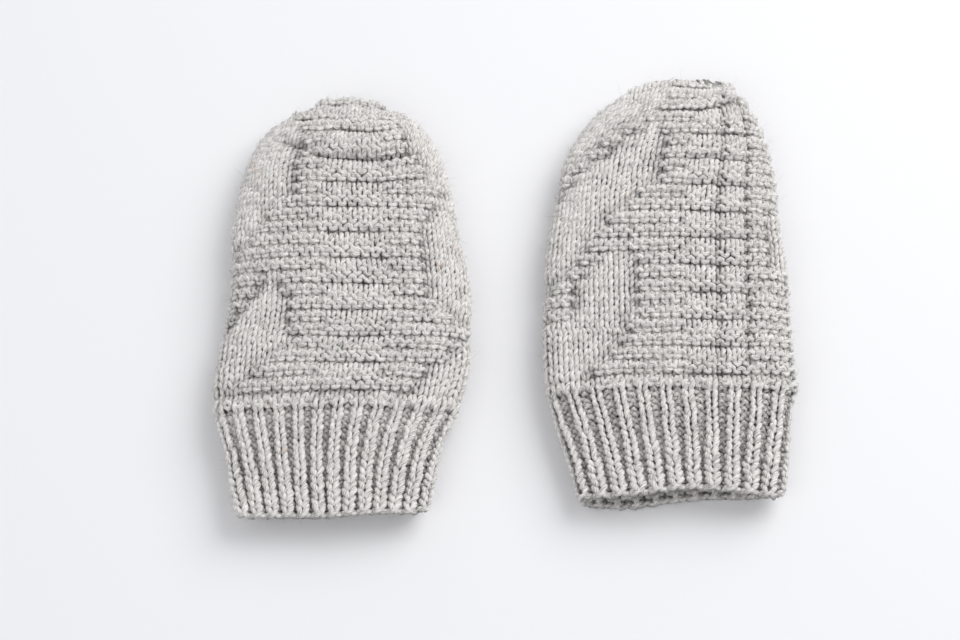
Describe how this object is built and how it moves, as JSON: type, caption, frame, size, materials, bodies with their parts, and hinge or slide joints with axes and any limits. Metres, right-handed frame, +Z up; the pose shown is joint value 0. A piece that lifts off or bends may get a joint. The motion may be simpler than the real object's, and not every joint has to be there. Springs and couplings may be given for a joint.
{
  "type": "knitted mittens",
  "caption": "Pair of thumbless knitted baby mittens with ribbed cuffs, rounded gathered crowns and a sewn side seam, lying flat side by side.",
  "frame": {"origin": "on the table under the middle of the pair's box", "axes": "+X across the pair from the left mitten to the right one, +Y from the cuffs to the fingertips, +Z up from the table"},
  "size_m": [0.17, 0.1372, 0.0161],
  "materials": {
    "knit": "matt, slightly fuzzy heathered light grey yarn, knitted in garter and stocking stitch",
    "rib": "matt, slightly fuzzy heathered light grey yarn, knitted in single rib",
    "seam_yarn": "matt heathered light grey yarn, sewn"
  },
  "bodies": {
    "left_mitten": {"left_hand": "knit", "left_hand_seam": "seam_yarn"},
    "left_tip": {"left_crown": "knit", "left_crown_seam": "seam_yarn", "left_gather_yarn": "seam_yarn"},
    "left_cuff": {"left_cuff_lower": "rib", "left_cuff_seam": "seam_yarn"},
    "left_cuff_top": {"left_cuff_upper": "rib"},
    "right_mitten": {"right_hand": "knit", "right_hand_seam": "seam_yarn"},
    "right_tip": {"right_crown": "knit", "right_crown_seam": "seam_yarn", "right_gather_yarn": "seam_yarn"},
    "right_cuff": {"right_cuff_lower": "rib"},
    "right_cuff_top": {"right_cuff_upper": "rib", "right_cuff_seam": "seam_yarn"}
  },
  "joints": [
    {"name": "left_wrist_flex", "type": "hinge", "parent": "left_mitten", "child": "left_cuff", "pos_m": [-0.04905, -0.03463, 0.0075], "axis": [-1, 0, 0], "range_deg": [-25, 25]},
    {"name": "left_mouth_open", "type": "hinge", "parent": "left_cuff", "child": "left_cuff_top", "pos_m": [-0.04926, -0.0368, 0.0153], "axis": [-1, 0, 0], "range_deg": [0, 25]},
    {"name": "left_tip_flex", "type": "hinge", "parent": "left_mitten", "child": "left_tip", "pos_m": [-0.04777, 0.03937, 0.0075], "axis": [1, 0, 0], "range_deg": [-25, 25]},
    {"name": "right_wrist_flex", "type": "hinge", "parent": "right_mitten", "child": "right_cuff", "pos_m": [0.04865, -0.03013, 0.0075], "axis": [-1, 0, 0], "range_deg": [-25, 25]},
    {"name": "right_mouth_open", "type": "hinge", "parent": "right_cuff", "child": "right_cuff_top", "pos_m": [0.04875, -0.0323, 0.0153], "axis": [-1, 0, 0], "range_deg": [0, 25]},
    {"name": "right_tip_flex", "type": "hinge", "parent": "right_mitten", "child": "right_tip", "pos_m": [0.04978, 0.04387, 0.0075], "axis": [1, 0, 0], "range_deg": [-25, 25]},
    {"name": "right_mitten_lift", "type": "slide", "parent": "left_mitten", "child": "right_mitten", "axis": [0, 0, 1], "range_m": [0, 0.12]}
  ]
}
